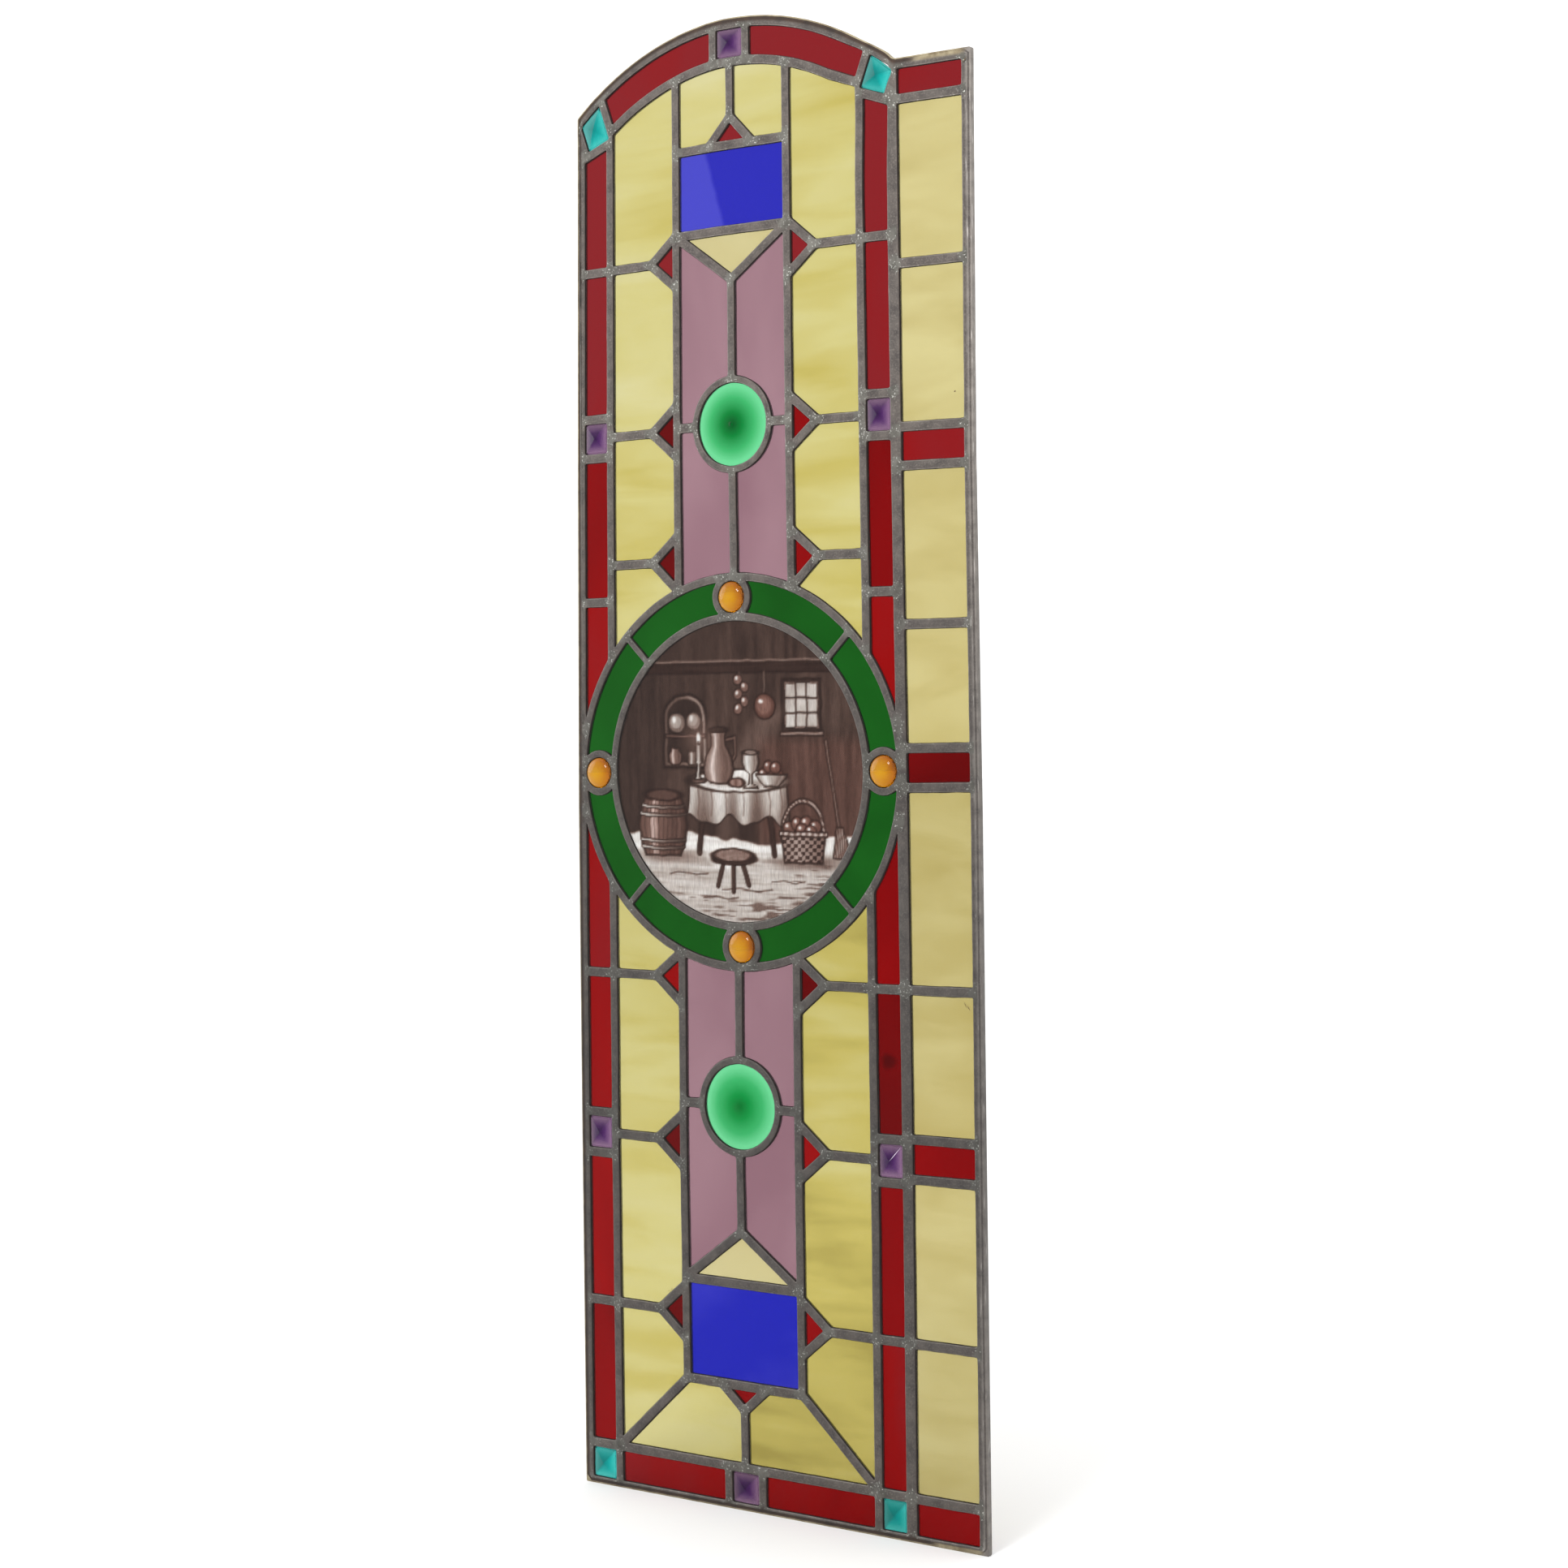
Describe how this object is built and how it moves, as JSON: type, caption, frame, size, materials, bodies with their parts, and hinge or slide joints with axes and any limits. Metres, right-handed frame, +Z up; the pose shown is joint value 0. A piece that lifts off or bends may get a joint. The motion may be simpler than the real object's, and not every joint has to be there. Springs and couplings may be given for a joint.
{
  "type": "leaded stained glass window panel",
  "caption": "Arched leaded-glass panel with a painted round medallion in a green ring, coloured borders, rondels and jewels, and a narrow square-topped side strip.",
  "frame": {"origin": "middle of the flat bottom edge of the lead, half way through its depth", "axes": "+Z up the panel, +X to the right seen from the front, +Y from the front to the back"},
  "size_m": [0.425, 0.0105, 1.2999],
  "materials": {
    "lead": null,
    "amber_glass": "clear amber, domed and polished",
    "blue_glass": "deep blue, smooth",
    "cream_glass": "pale cream, smooth",
    "green_glass": "dark green, smooth",
    "mint_glass": "clear mint green, deeper at the middle",
    "mauve_glass": "dusky mauve, smooth",
    "painted_glass": "clear glass with fired sepia-brown paint",
    "purple_glass": "violet, cast with four sloping facets",
    "red_glass": "deep ruby, smooth",
    "teal_glass": "blue-green, cast with four sloping facets",
    "yellow_glass": "pale yellow with soft streaks"
  },
  "bodies": {
    "root": {"lead_came_network": "lead", "amber_cabochon_1": "amber_glass", "amber_cabochon_2": "amber_glass", "amber_cabochon_3": "amber_glass", "amber_cabochon_4": "amber_glass", "blue_pane_low": "blue_glass", "blue_pane_high": "blue_glass", "cream_pane_low": "cream_glass", "cream_pane_high": "cream_glass", "green_ring_pane_1": "green_glass", "green_ring_pane_2": "green_glass", "green_ring_pane_3": "green_glass", "green_ring_pane_4": "green_glass", "green_ring_pane_5": "green_glass", "green_ring_pane_6": "green_glass", "green_ring_pane_7": "green_glass", "green_ring_pane_8": "green_glass", "green_rondel_low": "mint_glass", "green_rondel_high": "mint_glass", "mauve_pane_left_1": "mauve_glass", "mauve_pane_left_2": "mauve_glass", "mauve_pane_left_3": "mauve_glass", "mauve_pane_left_4": "mauve_glass", "mauve_pane_right_1": "mauve_glass", "mauve_pane_right_2": "mauve_glass", "mauve_pane_right_3": "mauve_glass", "mauve_pane_right_4": "mauve_glass", "painted_roundel": "painted_glass", "yellow_base_pane_left": "yellow_glass", "yellow_base_pane_right": "yellow_glass", "yellow_head_pane_left": "yellow_glass", "yellow_head_pane_right": "yellow_glass", "yellow_pane_left_1": "yellow_glass", "yellow_pane_left_2": "yellow_glass", "yellow_pane_left_3": "yellow_glass", "yellow_pane_left_4": "yellow_glass", "yellow_pane_left_5": "yellow_glass", "yellow_pane_left_6": "yellow_glass", "yellow_pane_left_7": "yellow_glass", "yellow_pane_left_8": "yellow_glass", "yellow_pane_right_1": "yellow_glass", "yellow_pane_right_2": "yellow_glass", "yellow_pane_right_3": "yellow_glass", "yellow_pane_right_4": "yellow_glass", "yellow_pane_right_5": "yellow_glass", "yellow_pane_right_6": "yellow_glass", "yellow_pane_right_7": "yellow_glass", "yellow_pane_right_8": "yellow_glass", "yellow_strip_pane_1": "yellow_glass", "yellow_strip_pane_2": "yellow_glass", "yellow_strip_pane_3": "yellow_glass", "yellow_strip_pane_4": "yellow_glass", "yellow_strip_pane_5": "yellow_glass", "yellow_strip_pane_6": "yellow_glass", "yellow_strip_pane_7": "yellow_glass", "yellow_strip_pane_8": "yellow_glass"}
  },
  "joints": []
}
